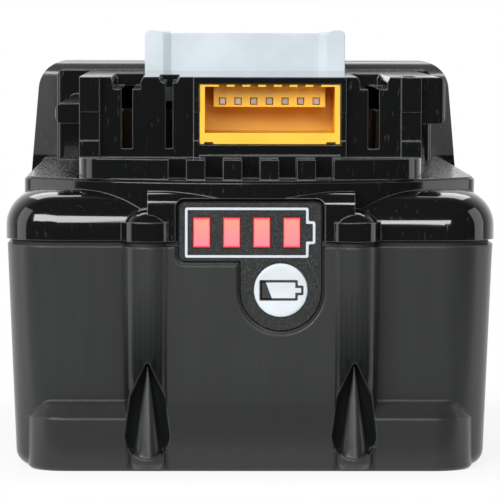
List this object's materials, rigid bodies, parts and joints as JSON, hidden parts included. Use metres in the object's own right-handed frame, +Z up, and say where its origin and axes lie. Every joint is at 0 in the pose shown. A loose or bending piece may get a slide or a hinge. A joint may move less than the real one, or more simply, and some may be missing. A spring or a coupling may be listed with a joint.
{
  "type": "power tool battery pack",
  "caption": "Slide-on rechargeable battery pack with side rails, blade slots, signal socket, charge gauge with check button and a spring-loaded release latch.",
  "frame": {"origin": "middle of the pack's footprint, on the surface that it stands on", "axes": "+X across the pack, +Y from the terminal end to the release-button end, +Z up"},
  "size_m": [0.075, 0.113, 0.0666],
  "materials": {
    "case_satin_grey": "satin moulded plastic",
    "case_gloss_black": "polished moulded plastic",
    "seal_rubber": "matte",
    "screw_steel": "plain steel",
    "bezel_dark": "fine grain",
    "window_red": "frosted translucent",
    "button_white": "smooth",
    "latch_pale": "smooth moulded plastic",
    "board_green": "lacquered board",
    "holder_plastic": "moulded",
    "connector_yellow": "smooth moulded plastic",
    "contact_brass": "plated",
    "strip_nickel": "nickel plated",
    "ribbon_amber": "film",
    "paper_sheet": "pressed sheet",
    "cell_wrap": "shrink wrap"
  },
  "bodies": {
    "housing": {"board_carrier": "holder_plastic", "case_gasket": "seal_rubber", "case_screws": "screw_steel", "cell_a1": "cell_wrap", "cell_a2": "cell_wrap", "cell_a3": "cell_wrap", "cell_a4": "cell_wrap", "cell_a5": "cell_wrap", "cell_b1": "cell_wrap", "cell_b2": "cell_wrap", "cell_b3": "cell_wrap", "cell_b4": "cell_wrap", "cell_b5": "cell_wrap", "cell_holder_left": "holder_plastic", "cell_holder_right": "holder_plastic", "cell_strip_a": "strip_nickel", "cell_strip_b": "strip_nickel", "cell_strip_c": "strip_nickel", "cell_strip_d": "strip_nickel", "cell_strip_e": "strip_nickel", "cell_strip_f": "strip_nickel", "charge_clip": "contact_brass", "controller_chip": "bezel_dark", "gauge_bezel": "bezel_dark", "gauge_board": "board_green", "gauge_leds": "window_red", "gauge_ribbon": "ribbon_amber", "insulating_sheet_left": "paper_sheet", "insulating_sheet_right": "paper_sheet", "latch_spring_left": "screw_steel", "latch_spring_right": "screw_steel", "light_guide": "window_red", "lower_case": "case_satin_grey", "main_board": "board_green", "negative_clip": "contact_brass", "negative_lead": "strip_nickel", "positive_clip": "contact_brass", "positive_lead": "strip_nickel", "power_transistors": "bezel_dark", "signal_connector": "connector_yellow", "signal_contacts": "contact_brass", "switch_body": "bezel_dark", "thermistor": "bezel_dark", "upper_case": "case_gloss_black"},
    "latch": {"release_latch": "latch_pale"},
    "button": {"check_button": "button_white", "switch_plunger": "button_white"}
  },
  "joints": [
    {"name": "latch_slide", "type": "slide", "parent": "housing", "child": "latch", "axis": [0, 0, -1], "range_m": [0, 0.006], "stiffness_N_per_m": 1200, "springref_m": -0.004, "deforming": ["latch_spring_left", "latch_spring_right"]},
    {"name": "check_button_press", "type": "slide", "parent": "housing", "child": "button", "axis": [0, 1, 0], "range_m": [0, 0.0004], "stiffness_N_per_m": 3000, "springref_m": -0.0002}
  ]
}
